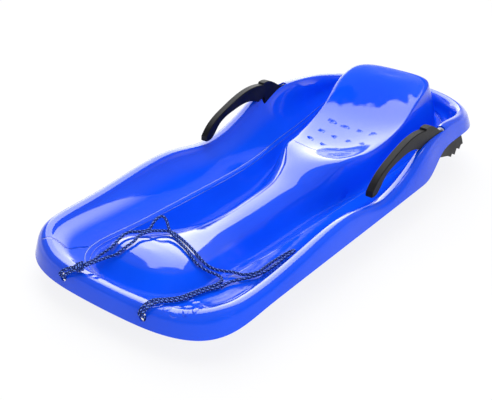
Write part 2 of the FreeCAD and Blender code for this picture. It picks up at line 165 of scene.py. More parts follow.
def joined(pieces: list[bpy.types.Object]) -> bpy.types.Object:
    """Joins pieces into the first one.

    Args:
        pieces: The pieces.

    Returns:
        The first piece, with the others in it.
    """
    bpy.ops.object.select_all(action="DESELECT")
    for piece in pieces:
        piece.select_set(True)
    bpy.context.view_layer.objects.active = pieces[0]
    bpy.ops.object.join()
    return pieces[0]


def face_outwards(obj: bpy.types.Object, merge: float = 0.0) -> None:
    """Merges an object's doubled vertices and turns its faces outwards.

    Args:
        obj: The object.
        merge: Distance within which vertices merge, or 0 for no merging.
    """
    only(obj)
    bpy.ops.object.mode_set(mode="EDIT")
    bpy.ops.mesh.select_all(action="SELECT")
    if merge:
        bpy.ops.mesh.remove_doubles(threshold=merge)
    bpy.ops.mesh.normals_make_consistent(inside=False)
    bpy.ops.object.mode_set(mode="OBJECT")


def smooth_by_angle(obj: bpy.types.Object, degrees: float) -> None:
    """Shades an object smooth apart from the edges that fold by more than an angle."""
    only(obj)
    bpy.ops.object.shade_smooth_by_angle(angle=math.radians(degrees))


def mesh_object(name: str, points: np.ndarray, faces: list[tuple[int, ...]]) -> bpy.types.Object:
    """Makes an object from points and faces.

    Args:
        name: The name for its object and its mesh.
        points: One row of X, Y and Z a vertex.
        faces: Vertex numbers of each face.

    Returns:
        The object, linked to the scene.
    """
    mesh = bpy.data.meshes.new(name)
    mesh.from_pydata([tuple(point) for point in points], [], faces)
    mesh.update()
    obj = bpy.data.objects.new(name, mesh)
    bpy.context.scene.collection.objects.link(obj)
    return obj


def plumb(skin: BVHTree, x: float, y: float) -> tuple[Vector | None, Vector | None]:
    """Finds where a plumb line meets the skin from above, and the way the skin faces there."""
    return skin.ray_cast(Vector((x, y, PLUMB_HEIGHT)), Vector((0.0, 0.0, -1.0)))[:2]


def run_along(line: np.ndarray) -> np.ndarray:
    """Gives the run from a line's start to each of its points."""
    return np.concatenate([[0.0], np.cumsum(np.linalg.norm(np.diff(line, axis=0), axis=1))])


def unit(directions: np.ndarray) -> np.ndarray:
    """Scales each row of directions to a length of 1."""
    return directions / np.linalg.norm(directions, axis=1, keepdims=True)


# Finishes


@dataclass(frozen=True)
class Noise:
    """Scale, detail and roughness of a noise pattern."""

    scale: float
    detail: float
    roughness: float = 0.5


@dataclass(frozen=True)
class Relief:
    """Strength and depth of a fine relief, and whether it is sunk or raised."""

    strength: float
    depth: float
    sunk: bool = False


class Nodes:
    """Short way to write the nodes of a material or of the world."""

    def __init__(self, owner: bpy.types.ID, output: str = "OutputMaterial") -> None:
        """Starts with nothing but an output.

        Args:
            owner: The material or the world.
            output: The output node's type, without its ShaderNode prefix.
        """
        self.owner = owner
        owner.use_nodes = True
        self.tree = owner.node_tree
        self.tree.nodes.clear()
        self.output = self.add(output)

    def add(self, kind: str, inputs: dict | None = None, **settings: object) -> bpy.types.Node:
        """Adds a node.

        Args:
            kind: The node's type, without its ShaderNode prefix.
            inputs: Values, or sockets to link, by the input's name or number.
            **settings: Values for the node's own properties.

        Returns:
            The node.
        """
        node = self.tree.nodes.new("ShaderNode" + kind)
        for key, value in settings.items():
            setattr(node, key, value)
        for key, value in (inputs or {}).items():
            if isinstance(value, Socket):
                self.tree.links.new(value, node.inputs[key])
            else:
                node.inputs[key].default_value = value
        return node

    def place(self) -> Socket:
        """Gives the place on the object."""
        return self.add("TexCoord").outputs["Object"]

    def attribute(self, name: str) -> Socket:
        """Gives the value of one of the mesh's attributes."""
        return self.add("Attribute", attribute_name=name).outputs["Fac"]

    def math(self, operation: str, *values: object) -> Socket:
        """Adds a math node on numbers or sockets and gives its result."""
        return self.add("Math", dict(enumerate(values)), operation=operation).outputs[0]

    def noise(self, place: Socket, pattern: Noise) -> Socket:
        """Adds a noise pattern and gives its value.

        Args:
            place: Where it is read.
            pattern: Its scale, detail and roughness.

        Returns:
            The socket with the value.
        """
        return self.add("TexNoise", {
            "Vector": place, "Scale": pattern.scale, "Detail": pattern.detail,
            "Roughness": pattern.roughness,
        }).outputs["Fac"]

    def spread(self, value: Socket, span: tuple[float, float] = (0.0, 1.0),
               result: tuple[float, float] = (0.0, 1.0), smooth: bool = False) -> Socket:
        """Maps one span of values onto another.

        Args:
            value: The socket that drives it.
            span: Start and end of the span that is read.
            result: What the start and the end become.
            smooth: Whether it eases in and out.

        Returns:
            The socket with the result.
        """
        return self.add(
            "MapRange",
            {"Value": value, "From Min": span[0], "From Max": span[1],
             "To Min": result[0], "To Max": result[1]},
            interpolation_type="SMOOTHSTEP" if smooth else "LINEAR",
        ).outputs["Result"]

    def bump(self, height: Socket, relief: Relief, under: Socket | None = None) -> Socket:
        """Adds a fine relief.

        Args:
            height: The socket with its height.
            relief: Its strength and depth.
            under: The relief that it lies on.

        Returns:
            The normal socket.
        """
        inputs = {"Height": height, "Strength": relief.strength, "Distance": relief.depth}
        if under is not None:
            inputs["Normal"] = under
        return self.add("Bump", inputs, invert=relief.sunk).outputs["Normal"]

    def ramp(self, factor: Socket, stops: tuple[tuple[float, Colour], ...]) -> Socket:
        """Adds a colour ramp.

        Args:
            factor: The socket that drives it.
            stops: Position and colour of each stop.

        Returns:
            The colour socket.
        """
        node = self.add("ValToRGB", {"Fac": factor})
        elements = node.color_ramp.elements
        while len(elements) < len(stops):
            elements.new(stops[-1][0])
        for element, (position, colour) in zip(elements, stops):
            element.position = position
            element.color = colour
        return node.outputs["Color"]

    def blend(self, share: object, first: object, second: object, way: str = "MIX") -> Socket:
        """Blends two colours.

        Args:
            share: How much of the second one is taken.
            first: The first colour, or its socket.
            second: The second colour, or its socket.
            way: The node's way of blending.

        Returns:
            The colour socket.
        """
        share_input, first_input, second_input, colour_output = 0, 6, 7, 2
        inputs = {share_input: share, first_input: first, second_input: second}
        return self.add("Mix", inputs, data_type="RGBA", blend_type=way).outputs[colour_output]

    def seen(self) -> Socket:
        """Tells the rays that show a thing from those that carry its light.

        Returns:
            A socket that is 1 for camera, mirrored and see-through rays.
        """
        ray = self.add("LightPath").outputs
        either = self.math("MAXIMUM", ray["Is Camera Ray"], ray["Is Glossy Ray"])
        return self.math("MAXIMUM", either, ray["Is Transmission Ray"])

    def close(self, surface: Socket) -> bpy.types.ID:
        """Links the surface to the output and gives the finished material or world."""
        self.tree.links.new(surface, self.output.inputs["Surface"])
        return self.owner


@dataclass(frozen=True)
class HullPlastic:
    """Glossy blue moulded plastic with two fine raised lines along the crease, which also carry a painted
    highlight of lighter blue, and grooves by the folds.

    Ring numbers count the hull's guide rings from the skirt's edge to the spine. The gloss
    starts from the skirt's and changes over each span of rings in gloss_steps. Past the
    rubbed_back line the backrest is dull apart from its edge.
    """

    colour: Colour = (0.003, 0.078, 0.84, 1.0)
    deep_colour: Colour = (0.002, 0.062, 0.74, 1.0)
    cloud: Noise = Noise(7.0, 3.0)
    cloud_stops: tuple[float, float] = (0.3, 0.7)
    ior: float = 1.5
    roughness: tuple[float, float] = (0.09, 0.16)
    scuffs: Noise = Noise(60.0, 8.0, 0.8)
    scuff_stops: tuple[float, float] = (0.45, 0.8)
    grain: Noise = Noise(420.0, 2.0, 0.6)
    grain_relief: Relief = Relief(0.03, 0.4 * MM)
    wave: Noise = Noise(34.0, 1.0, 0.4)
    wave_relief: Relief = Relief(0.8, 0.6 * MM)
    crease_rings: tuple[float, float] = (7.72, 8.62)
    crease_half_width: float = 0.1
    crease_highlight_colour: Colour = (0.10, 0.26, 0.95, 1.0)
    crease_highlight_share: float = 0.6
    crease_relief: Relief = Relief(1.0, 1.5 * MM)
    groove_half_width: float = 2.4 * MM
    groove_relief: Relief = Relief(1.0, 2.8 * MM, sunk=True)
    skirt_gloss: float = 0.3
    gloss_steps: tuple[tuple[tuple[float, float], float], ...] = (
        ((1.7, 2.5), 0.7), ((5.2, 6.2), -1.0), ((13.3, 13.9), 1.0),
    )
    rubbed_back: tuple[float, float] = (279.0 * MM, 286.0 * MM)
    rubbed_slant: float = -0.25
    rubbed_waver: float = 45.0 * MM
    waver: Noise = Noise(38.0, 1.0)
    seat_edge: tuple[float, float] = (14.3, 14.7)
    dull_specular: float = 0.05
    gloss_specular: float = 0.45
    coat_roughness: float = 0.05

    def crease_lines(self, nodes: Nodes) -> Socket:
        """Fine raised lines along two rings of the hull, from its ring attribute; the same mask places
        their painted highlight.

        Args:
            nodes: The material being made.

        Returns:
            A socket that is 1 on a line and 0 away from it.
        """
        ring = nodes.attribute("ring")
        lines = []
        for place in self.crease_rings:
            off = nodes.math("ABSOLUTE", nodes.math("SUBTRACT", ring, place))
            lines.append(nodes.spread(off, (0.0, self.crease_half_width), (1.0, 0.0), smooth=True))
        return nodes.math("MAXIMUM", *lines)

    def fold_grooves(self, nodes: Nodes) -> Socket:
        """Grooves by the seat's lip and in the front corner, from the hull's groove attributes.

        Args:
            nodes: The material being made.

        Returns:
            A socket that is 1 in a groove and 0 away from it.
        """
        off = nodes.math("ABSOLUTE", nodes.attribute("groove_off"))
        dip = nodes.spread(off, (0.0, self.groove_half_width), (1.0, 0.0), smooth=True)
        return nodes.math("MULTIPLY", dip, nodes.attribute("groove_near"))

    def gloss(self, nodes: Nodes) -> Socket:
        """Full gloss on the rim, the nose and the seat, and less where legs and the back rub.

        Args:
            nodes: The material being made.

        Returns:
            A socket that is 1 where the gloss is full and 0 where it is rubbed.
        """
        ring = nodes.attribute("ring")
        total = self.skirt_gloss
        for span, change in self.gloss_steps:
            total = nodes.math("MULTIPLY_ADD", nodes.spread(ring, span, smooth=True), change, total)
        place = nodes.place()
        axes = nodes.add("SeparateXYZ", {"Vector": place}).outputs
        waver = nodes.math("SUBTRACT", nodes.noise(place, self.waver), NOISE_MEAN)
        slanted = nodes.math("MULTIPLY_ADD", axes["X"], self.rubbed_slant, axes["Y"])
        reach = nodes.math("ADD", slanted, nodes.math("MULTIPLY", waver, self.rubbed_waver))
        seat = nodes.spread(reach, self.rubbed_back, (1.0, 0.0))
        edge = nodes.spread(ring, self.seat_edge, (1.0, 0.0))
        total = nodes.math("MULTIPLY", total, nodes.math("MAXIMUM", seat, edge))
        return nodes.math("MAXIMUM", total, self.crease_lines(nodes))

    def material(self) -> bpy.types.Material:
        """Builds the material.

        Returns:
            The material.
        """
        nodes = Nodes(bpy.data.materials.new("hull_blue_plastic"))
        place = nodes.place()
        blues = zip(self.cloud_stops, (self.deep_colour, self.colour))
        colour = nodes.ramp(nodes.noise(place, self.cloud), tuple(blues))
        lines = self.crease_lines(nodes)
        # Painted highlight: the crease lines are tinted a lighter blue, standing in for the light they
        # catch.
        colour = nodes.blend(nodes.math("MULTIPLY", lines, self.crease_highlight_share), colour, self.crease_highlight_colour)
        relief = nodes.bump(nodes.noise(place, self.grain), self.grain_relief)
        relief = nodes.bump(nodes.noise(place, self.wave), self.wave_relief, relief)
        relief = nodes.bump(lines, self.crease_relief, relief)
        relief = nodes.bump(self.fold_grooves(nodes), self.groove_relief, relief)
        gloss = self.gloss(nodes)
        surface = nodes.add("BsdfPrincipled", {
            "Base Color": colour, "IOR": self.ior, "Normal": relief,
            "Roughness": nodes.spread(nodes.noise(place, self.scuffs), self.scuff_stops, self.roughness),
            "Specular IOR Level": nodes.math(
                "MULTIPLY_ADD", gloss, self.gloss_specular, self.dull_specular
            ),
            "Coat Weight": gloss, "Coat Roughness": self.coat_roughness,
        })
        return nodes.close(surface.outputs["BSDF"])


@dataclass(frozen=True)
class LeverPlastic:
    """Black plastic with a fine grain."""

    colour: Colour = (0.004, 0.004, 0.005, 1.0)
    worn_colour: Colour = (0.014, 0.014, 0.017, 1.0)
    cloud: Noise = Noise(35.0, 5.0, 0.6)
    cloud_stops: tuple[float, float] = (0.4, 0.75)
    ior: float = 1.4
    specular: float = 0.3
    roughness: tuple[float, float] = (0.39, 0.54)
    roughness_stops: tuple[float, float] = (0.3, 0.7)
    grain_scale: float = 900.0
    grain_relief: Relief = Relief(0.25, 0.3 * MM)

    def material(self) -> bpy.types.Material:
        """Builds the material.

        Returns:
            The material.
        """
        nodes = Nodes(bpy.data.materials.new("lever_black_plastic"))
        place = nodes.place()
        grain = nodes.add("TexVoronoi", {"Vector": place, "Scale": self.grain_scale}, feature="F1")
        cloud = nodes.noise(place, self.cloud)
        surface = nodes.add("BsdfPrincipled", {
            "Base Color": nodes.ramp(cloud, tuple(zip(self.cloud_stops, (self.colour, self.worn_colour)))),
            "Roughness": nodes.spread(cloud, self.roughness_stops, self.roughness),
            "IOR": self.ior, "Specular IOR Level": self.specular,
            "Normal": nodes.bump(grain.outputs["Distance"], self.grain_relief),
        })
        return nodes.close(surface.outputs["BSDF"])


@dataclass(frozen=True)
class PinSteel:
    """Drawn steel wire of the pivot pins."""

    colour: Colour = (0.6, 0.6, 0.62, 1.0)
    roughness: tuple[float, float] = (0.22, 0.42)
    drawn_scale: Point = (40.0, 2500.0, 2500.0)
    drawn: Noise = Noise(1.0, 3.0)
    drawn_relief: Relief = Relief(0.15, 0.1 * MM)

    def material(self) -> bpy.types.Material:
        """Builds the material.

        Returns:
            The material.
        """
        nodes = Nodes(bpy.data.materials.new("pin_drawn_steel"))
        along = nodes.add("Mapping", {"Vector": nodes.place(), "Scale": self.drawn_scale})
        lines = nodes.noise(along.outputs["Vector"], self.drawn)
        surface = nodes.add("BsdfPrincipled", {
            "Base Color": self.colour, "Metallic": 1.0,
            "Roughness": nodes.spread(lines, result=self.roughness),
            "Normal": nodes.bump(lines, self.drawn_relief),
        })
        return nodes.close(surface.outputs["BSDF"])


@dataclass(frozen=True)
class RopeBraid:
    """Soft braid of blue, pale blue and black yarns."""

    blue: Colour = (0.008, 0.035, 0.3, 1.0)
    pale_blue: Colour = (0.12, 0.22, 0.72, 1.0)
    black: Colour = (0.002, 0.003, 0.01, 1.0)
    dye_stops: tuple[float, float, float, float] = (0.2, 0.4, 0.6, 0.8)
    roughness: float = 0.75
    specular: float = 0.2
    fibre: Noise = Noise(2600.0, 3.0, 0.7)
    fibre_tint: tuple[float, float] = (0.75, 1.35)
    fibre_relief: Relief = Relief(0.4, 0.2 * MM)

    def material(self) -> bpy.types.Material:
        """Builds the material.

        Returns:
            The material.
        """
        nodes = Nodes(bpy.data.materials.new("rope_blue_black_braid"))
        fibre = nodes.noise(nodes.place(), self.fibre)
        dyes = (self.blue, self.pale_blue, self.pale_blue, self.black)
        dye = nodes.ramp(nodes.attribute("yarn"), tuple(zip(self.dye_stops, dyes)))
        tint = nodes.spread(fibre, result=self.fibre_tint)
        surface = nodes.add("BsdfPrincipled", {
            "Base Color": nodes.blend(1.0, dye, tint, "MULTIPLY"), "Roughness": self.roughness,
            "Specular IOR Level": self.specular, "Normal": nodes.bump(fibre, self.fibre_relief),
        })
        return nodes.close(surface.outputs["BSDF"])


@dataclass(frozen=True)
class Paper:
    """White studio floor that keeps the object's shadow."""

    colour: Colour = (0.86, 0.86, 0.87, 1.0)
    glow_share: float = 0.85
    full_glow: tuple[float, float] = (0.75, 1.8)

    def material(self) -> bpy.types.Material:
        """Builds the material.

        Returns:
            The material.
        """
        nodes = Nodes(bpy.data.materials.new("studio_paper"))
        away = nodes.add("VectorMath", {0: nodes.place()}, operation="LENGTH").outputs["Value"]
        share = nodes.spread(away, self.full_glow, (self.glow_share, 1.0), smooth=True)
        share = nodes.math("MULTIPLY", nodes.seen(), share)
        plain = nodes.add("BsdfDiffuse", {"Color": self.colour})
        glow = nodes.add("Emission", {"Color": WHITE, "Strength": 1.0})
        surface = nodes.add("MixShader", {0: share, 1: plain.outputs[0], 2: glow.outputs[0]})
        return nodes.close(surface.outputs[0])


# Studio


@dataclass
class Studio:
    """Camera, floor, backdrop light and lamps."""

    azimuth: float = 38.05
    elevation: float = 28.616
    place: Point = (0.7974, -1.1285, 0.7711)
    lens: float = 65.39
    film_width: float = 36.0
    nearest_seen: float = 10.0 * MM
    floor_size: float = 12.0
    floor_level: float = -0.4 * MM
    sky: float = 0.32
    sky_colour: Colour = (0.93, 0.95, 1.0, 1.0)
    backdrop_rise: tuple[float, float] = (0.05, 0.32)
    backdrop_light: tuple[float, float] = (1.0, 0.22)
    lamps: tuple[tuple[str, Point, float, tuple[float, float], bool], ...] = (
        ("softbox", (-0.989, 0.888, 1.342), 44.0, (1.9, 2.7), True),
        ("overhead", (0.5, -0.2, 2.1), 22.0, (1.6, 1.6), False),
        ("left_fill", (2.0, -0.9, 0.9), 18.0, (1.2, 1.2), False),
        ("front_fill", (0.3, -2.4, 0.8), 6.0, (1.4, 1.0), False),
    )

    def camera(self) -> None:
        """Adds the camera where the photographer stood."""
        data = bpy.data.cameras.new("camera")
        data.lens = self.lens
        data.sensor_width = self.film_width
        data.clip_start = self.nearest_seen
        obj = bpy.data.objects.new("camera", data)
        obj.location = self.place
        obj.rotation_euler = (math.radians(90.0 - self.elevation), 0.0, math.radians(self.azimuth))
        bpy.context.scene.collection.objects.link(obj)
        bpy.context.scene.camera = obj

    def floor(self) -> None:
        """Adds the paper that the sled stands on."""
        obj = primitive(
            "studio_floor", bpy.ops.mesh.primitive_plane_add,
            size=self.floor_size, location=(0.0, 0.0, self.floor_level),
        )
        obj.data.materials.append(Paper().material())

    def world(self) -> None:
        """Adds a white backdrop that darkens to a dim ceiling, over even soft light."""
        nodes = Nodes(bpy.data.worlds.new("surround"), "OutputWorld")
        rise = nodes.add("SeparateXYZ", {0: nodes.add("TexCoord").outputs["Generated"]}).outputs["Z"]
        fade = nodes.spread(rise, self.backdrop_rise, self.backdrop_light, smooth=True)
        even = nodes.add("Background", {"Color": self.sky_colour, "Strength": self.sky})
        white = nodes.add("Background", {"Color": WHITE, "Strength": fade})
        both = nodes.add("MixShader", {0: nodes.seen(), 1: even.outputs[0], 2: white.outputs[0]})
        bpy.context.scene.world = nodes.close(both.outputs[0])

    def light(self) -> None:
        """Hangs the soft lamps, of which only the softbox shows in the gloss."""
        for name, place, power, size, shows in self.lamps:
            data = bpy.data.lights.new(name, "AREA")
            data.shape = "RECTANGLE"
            data.size, data.size_y = size
            data.energy = power
            obj = bpy.data.objects.new(name, data)
            obj.location = place
            obj.rotation_euler = (-Vector(place)).to_track_quat("-Z", "Y").to_euler()
            obj.visible_glossy = shows
            bpy.context.scene.collection.objects.link(obj)

    def build(self) -> None:
        """Sets the whole studio and the plain view."""
        bpy.context.scene.view_settings.view_transform = "Standard"
        self.camera()
        self.floor()
        self.world()
        self.light()


# Tow rope


@dataclass
class BraidTube:
    """A braided rope laid along a line, with yarns both ways round a core.

    The tints give, for each way round, the dye of its even and odd yarns: 0 is blue, 0.5 is
    pale blue and 1 is black.
    """

    diameter: float = 5.0 * MM
    pitch: float = 15.0 * MM
    step: float = 1.25 * MM
    fewest_steps: int = 8
    guide_resolution: int = 16
    yarns: int = 4
    yarn_sides: int = 6
    yarn_width: float = 0.95 * MM
    yarn_height: float = 0.55 * MM
    weave: float = 0.22 * MM
    tints: tuple[tuple[int, tuple[float, float]], ...] = ((1, (0.0, 0.5)), (-1, (1.0, 1.0)))
    core_sides: int = 8
    core_tint: float = 1.0
    plumb_limit: float = 0.1
    sharp_angle: float = 60.0

    def line(self, points: list[Point]) -> np.ndarray:
        """Reads points along a smooth line through a rope's guide points.

        Args:
            points: Guide points in metres.

        Returns:
            One row of X, Y and Z a point.
        """
        data = bpy.data.curves.new("guide", "CURVE")
        data.dimensions = "3D"
        spline = data.splines.new("NURBS")
        spline.points.add(len(points) - 1)
        for target, point in zip(spline.points, points):
            target.co = (*point, 1.0)
        spline.order_u = 3
        spline.use_endpoint_u = True
        spline.resolution_u = self.guide_resolution
        obj = bpy.data.objects.new("guide", data)
        bpy.context.scene.collection.objects.link(obj)
        mesh = bpy.data.meshes.new_from_object(obj)
        found = coordinates(mesh)
        bpy.data.meshes.remove(mesh)
        bpy.data.objects.remove(obj)
        return found

    def even(self, line: np.ndarray) -> np.ndarray:
        """Spaces points evenly along a line.

        Args:
            line: Points of the line.

        Returns:
            Points about one step apart, with both ends kept.
        """
        reach = run_along(line)
        count = max(self.fewest_steps, round(reach[-1] / self.step)) + 1
        at = np.linspace(0.0, reach[-1], count)
        return np.stack([np.interp(at, reach, line[:, k]) for k in range(3)], axis=1)

    def sides(self, line: np.ndarray) -> tuple[np.ndarray, np.ndarray]:
        """Carries two cross directions along a line without twist.

        Args:
            line: Evenly spaced points.

        Returns:
            The first and the second direction at each point.
        """
        ahead = unit(np.gradient(line, axis=0))
        start = np.cross(ahead[0], [0.0, 0.0, 1.0])
        if np.linalg.norm(start) < self.plumb_limit:
            start = np.cross(ahead[0], [1.0, 0.0, 0.0])
        first = [start / np.linalg.norm(start)]
        for forward in ahead[1:]:
            side = first[-1] - forward * np.dot(first[-1], forward)
            first.append(side / np.linalg.norm(side))
        return np.array(first), np.cross(ahead, np.array(first))

    def tube(self, centre: np.ndarray, first: np.ndarray, second: np.ndarray, sides: int,
             start: int) -> tuple[np.ndarray, list[tuple[int, ...]]]:
        """Wraps a closed tube round a line.

        Args:
            centre: Points of the line.
            first: Half size and direction one way at each point.
            second: Half size and direction the other way.
            sides: Faces round the tube.
            start: Number of its first vertex.

        Returns:
            Its vertices and its faces.
        """
        turns = 2 * math.pi * np.arange(sides) / sides
        ring = centre[:, None] + first[:, None] * np.cos(turns)[None, :, None]
        ring = ring + second[:, None] * np.sin(turns)[None, :, None]
        faces = []
        for row in range(len(centre) - 1):
            low = start + row * sides
            for k in range(sides):
                after = (k + 1) % sides
                faces.append((low + k, low + after, low + sides + after, low + sides + k))
        last = start + (len(centre) - 1) * sides
        faces.append(tuple(start + k for k in reversed(range(sides))))
        faces.append(tuple(last + k for k in range(sides)))
        return ring.reshape(-1, 3), faces

    def build(self, name: str, line: np.ndarray) -> bpy.types.Object:
        """Makes the braid along a line.

        Args:
            name: The piece's name.
            line: Points of the rope's centre line.

        Returns:
            The braided rope.
        """
        centre = self.even(line)
        first, second = self.sides(centre)
        reach = run_along(centre)
        core = self.diameter / 2 - 2 * self.yarn_height
        vertices, faces = self.tube(centre, first * core, second * core, self.core_sides, 0)
        blocks = [vertices]
        tint = [np.full(len(vertices), self.core_tint)]
        beat = np.cos(2 * self.yarns * math.pi * reach / self.pitch)
        for way, dyes in self.tints:
            for k in range(self.yarns):
                turn = way * 2 * math.pi * reach / self.pitch + 2 * math.pi * k / self.yarns
                out = first * np.cos(turn)[:, None] + second * np.sin(turn)[:, None]
                radius = self.diameter / 2 - self.yarn_height - self.weave + way * self.weave * beat
                middle = centre + out * radius[:, None]
                across = unit(np.cross(unit(np.gradient(middle, axis=0)), out))
                more, their_faces = self.tube(
                    middle, across * self.yarn_width, out * self.yarn_height, self.yarn_sides,
                    sum(len(block) for block in blocks),
                )
                blocks.append(more)
                faces += their_faces
                tint.append(np.full(len(more), dyes[k % len(dyes)]))
        obj = mesh_object(name, np.concatenate(blocks), faces)
        write_attribute(obj.data, "yarn", np.concatenate(tint))
        face_outwards(obj)
        smooth_by_angle(obj, self.sharp_angle)
        return obj


@dataclass
class TowRope:
    """Doubled tow rope with its knots, lying as it was thrown over the nose.

    Routes, places of knots and the sizes of their turns are in millimetres.
    """

    diameter: float = 5.0 * MM
    strand_1: tuple[Point, ...] = (
        (-49, -427, 76), (-43, -409, 77.5), (-46, -387, 72), (-30, -375, 79), (-28, -361, 85),
        (-25, -344, 88.5), (-33, -326, 88), (-29, -307, 87), (-30, -288, 79), (-15, -273, 76),
        (15, -284, 78), (46, -294, 76), (74, -305, 71), (84, -297, 60), (95, -286, 54.5),
        (111, -280, 56.5), (130, -283, 60), (150, -273, 67), (144, -247, 63), (145, -218, 62.5),
        (154, -197, 69), (168, -205, 79), (161, -228, 73), (163, -252, 73), (158, -276, 70),
        (140, -293, 63), (124, -308, 59.5), (125, -328, 61), (113, -347, 61), (109, -368, 62),
        (105, -388, 64), (95, -406, 67), (90, -422, 73.5), (87, -437, 70.5), (84, -444.5, 61.5),
        (82, -438, 53), (82, -429, 45),
    )
    strand_2: tuple[Point, ...] = (
        (-54, -424, 76), (-51, -405, 74), (-60, -385, 69.5), (-49, -367, 80), (-54, -349, 83),
        (-57, -326, 85), (-46, -314, 83), (-38, -298, 81), (-45, -282, 87), (-42, -266, 92),
        (-29, -269, 89), (-12, -283, 82), (17, -293, 80), (44, -304, 79), (69, -317, 75),
        (84, -312, 65), (96, -301, 57), (112, -305, 57.5), (116, -325, 60), (106, -345, 59.5),
        (101, -367, 60.5), (97, -386, 62.5), (86, -403, 65), (83, -420, 73), (80, -435.5, 71),
        (77.5, -444, 61), (76, -438, 52.5), (76, -429, 45),
    )
    tail_1: tuple[Point, ...] = (
        (-82, -429, 45), (-82, -438, 53), (-79, -445.5, 63), (-68.5, -438, 72.5), (-57, -429.5, 75),
    )
    tail_2: tuple[Point, ...] = (
        (-76, -429, 45), (-76, -438, 52.5), (-72, -445, 59.5), (-62.5, -441.5, 69.5),
        (-52.5, -432.5, 74.5),
    )
    far_knot: tuple[Point, Point] = ((-53, -428, 75.5), (-42, -411, 78.5))
    far_end: tuple[Point, Point] = ((-79, -425.5, 42.5), (-79, -438, 52.5))
    near_end: tuple[Point, Point] = ((79, -425.5, 42.5), (79, -438, 52.5))
    wrap_turns: int = 3
    wrap_steps: int = 8
    wrap_radius: float = 5.4
    wrap_tuck: float = 1.5
    wrap_tuck_share: float = 0.25
    overhand_size: float = 2.3
    overhand_rise: float = 1.3
    overhand_steps: int = 24
    overhand_lap: int = 2
    braid: BraidTube = field(default_factory=BraidTube)

    def in_metres(self, route: tuple[Point, ...]) -> list[Point]:
        """Gives a route's points in metres."""
        return [tuple(value * MM for value in point) for point in route]

    def turned(self, place: tuple[Point, Point], points: list[Point]) -> list[Point]:
        """Moves points that are given along +Z onto a knot's axis.

        Args:
            place: The knot's centre and a point on its axis, in millimetres.
            points: Points in millimetres round the centre.

        Returns:
            The points in metres.
        """
        centre = Vector(place[0])
        turn = (Vector(place[1]) - centre).to_track_quat("Z", "X")
        return [tuple((centre + turn @ Vector(point)) * MM) for point in points]

    def wrapped_knot(self) -> bpy.types.Object:
        """Makes the knot of turns on the lip, with both ends tucked into its turns.

        Returns:
            The knot.
        """
        count = self.wrap_turns * self.wrap_steps
        pitch = self.diameter / MM
        half = pitch * (self.wrap_turns - 1) / 2
        points = []
        for k in range(count + 1):
            turn = 2 * math.pi * k / self.wrap_steps
            level = -half + (2 * half) * k / count
            points.append((self.wrap_radius * math.cos(turn), self.wrap_radius * math.sin(turn), level))
        inner = self.wrap_radius * self.wrap_tuck_share
        points.append((inner, 0.0, half + self.wrap_tuck))
        points.insert(0, (inner, 0.0, -half - self.wrap_tuck))
        line = self.braid.line(self.turned(self.far_knot, points))
        return self.braid.build("tow_rope_far_knot", line)

    def overhand_knot(self, name: str, place: tuple[Point, Point]) -> bpy.types.Object:
        """Makes a drawn-up overhand knot under the lip, along a trefoil line.

        Args:
            name: The piece's name.
            place: The knot's centre and a point on its axis, in millimetres.

        Returns:
            The knot.
        """
        points = []
        for k in range(self.overhand_steps):
            turn = 2 * math.pi * k / self.overhand_steps
            reach = self.overhand_size * (2 + math.cos(3 * turn))
            points.append((
                reach * math.cos(2 * turn), reach * math.sin(2 * turn),
                self.overhand_rise * self.overhand_size * math.sin(3 * turn),
            ))
        line = self.braid.line(self.turned(place, points + points[:self.overhand_lap]))
        return self.braid.build(name, line)

    def build(self, finish: bpy.types.Material) -> None:
        """Args:
            finish: The braid's material.
        """
        knot = self.wrapped_knot()
        far_end = self.overhand_knot("tow_rope_far_end_knot", self.far_end)
        near_end = self.overhand_knot("tow_rope_near_end_knot", self.near_end)
        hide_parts("far_rope_knot")
        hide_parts("far_end_knot")
        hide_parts("near_end_knot")
        pieces = [knot, far_end, near_end]
        cords = (
            ("tow_rope_long_strand_1", "tow_rope_strand_1", self.strand_1, -1, knot),
            ("tow_rope_long_strand_2", "tow_rope_strand_2", self.strand_2, -1, near_end),
            ("tow_rope_short_tail_1", "tow_rope_tail_1", self.tail_1, 0, far_end),
            ("tow_rope_short_tail_2", "tow_rope_tail_2", self.tail_2, 0, None),
        )
        for name, node, route, at, on_it in cords:
            points = self.in_metres(route)
            line = self.braid.line(points)
            piece = self.braid.build(name, line)
            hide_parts(node)
            [tuple(point) for point in self.braid.even(line)]
            pieces.append(piece)
        for piece in pieces:
            piece.data.materials.append(finish)
            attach(piece, SLED)
            log.info("%s: %d vertices", piece.name, len(piece.data.vertices))


# Hull


def ease(place: float, places: list[float], values: list[float]) -> float:
    """Smooth curve through values with no overshoot between them.

    Args:
        place: Where it is read.
        places: Places of the values, rising.
        values: The values.

    Returns:
        The value at the place.
    """
    if place <= places[0]:
        return values[0]
    if place >= places[-1]:
        return values[-1]
    spans = range(len(places) - 1)
    slopes = [(values[k + 1] - values[k]) / (places[k + 1] - places[k]) for k in spans]
    tangents = [slopes[0]]
    for before, after in zip(slopes, slopes[1:]):
        tangents.append(0.0 if before * after <= 0 else 2 * before * after / (before + after))
    tangents.append(slopes[-1])
    k = max(k for k in spans if place >= places[k])
    span = places[k + 1] - places[k]
    t = (place - places[k]) / span
    start = (2 * t**3 - 3 * t**2 + 1) * values[k] + (t**3 - 2 * t**2 + t) * span * tangents[k]
    end = (3 * t**2 - 2 * t**3) * values[k + 1] + (t**3 - t**2) * span * tangents[k + 1]
    return start + end


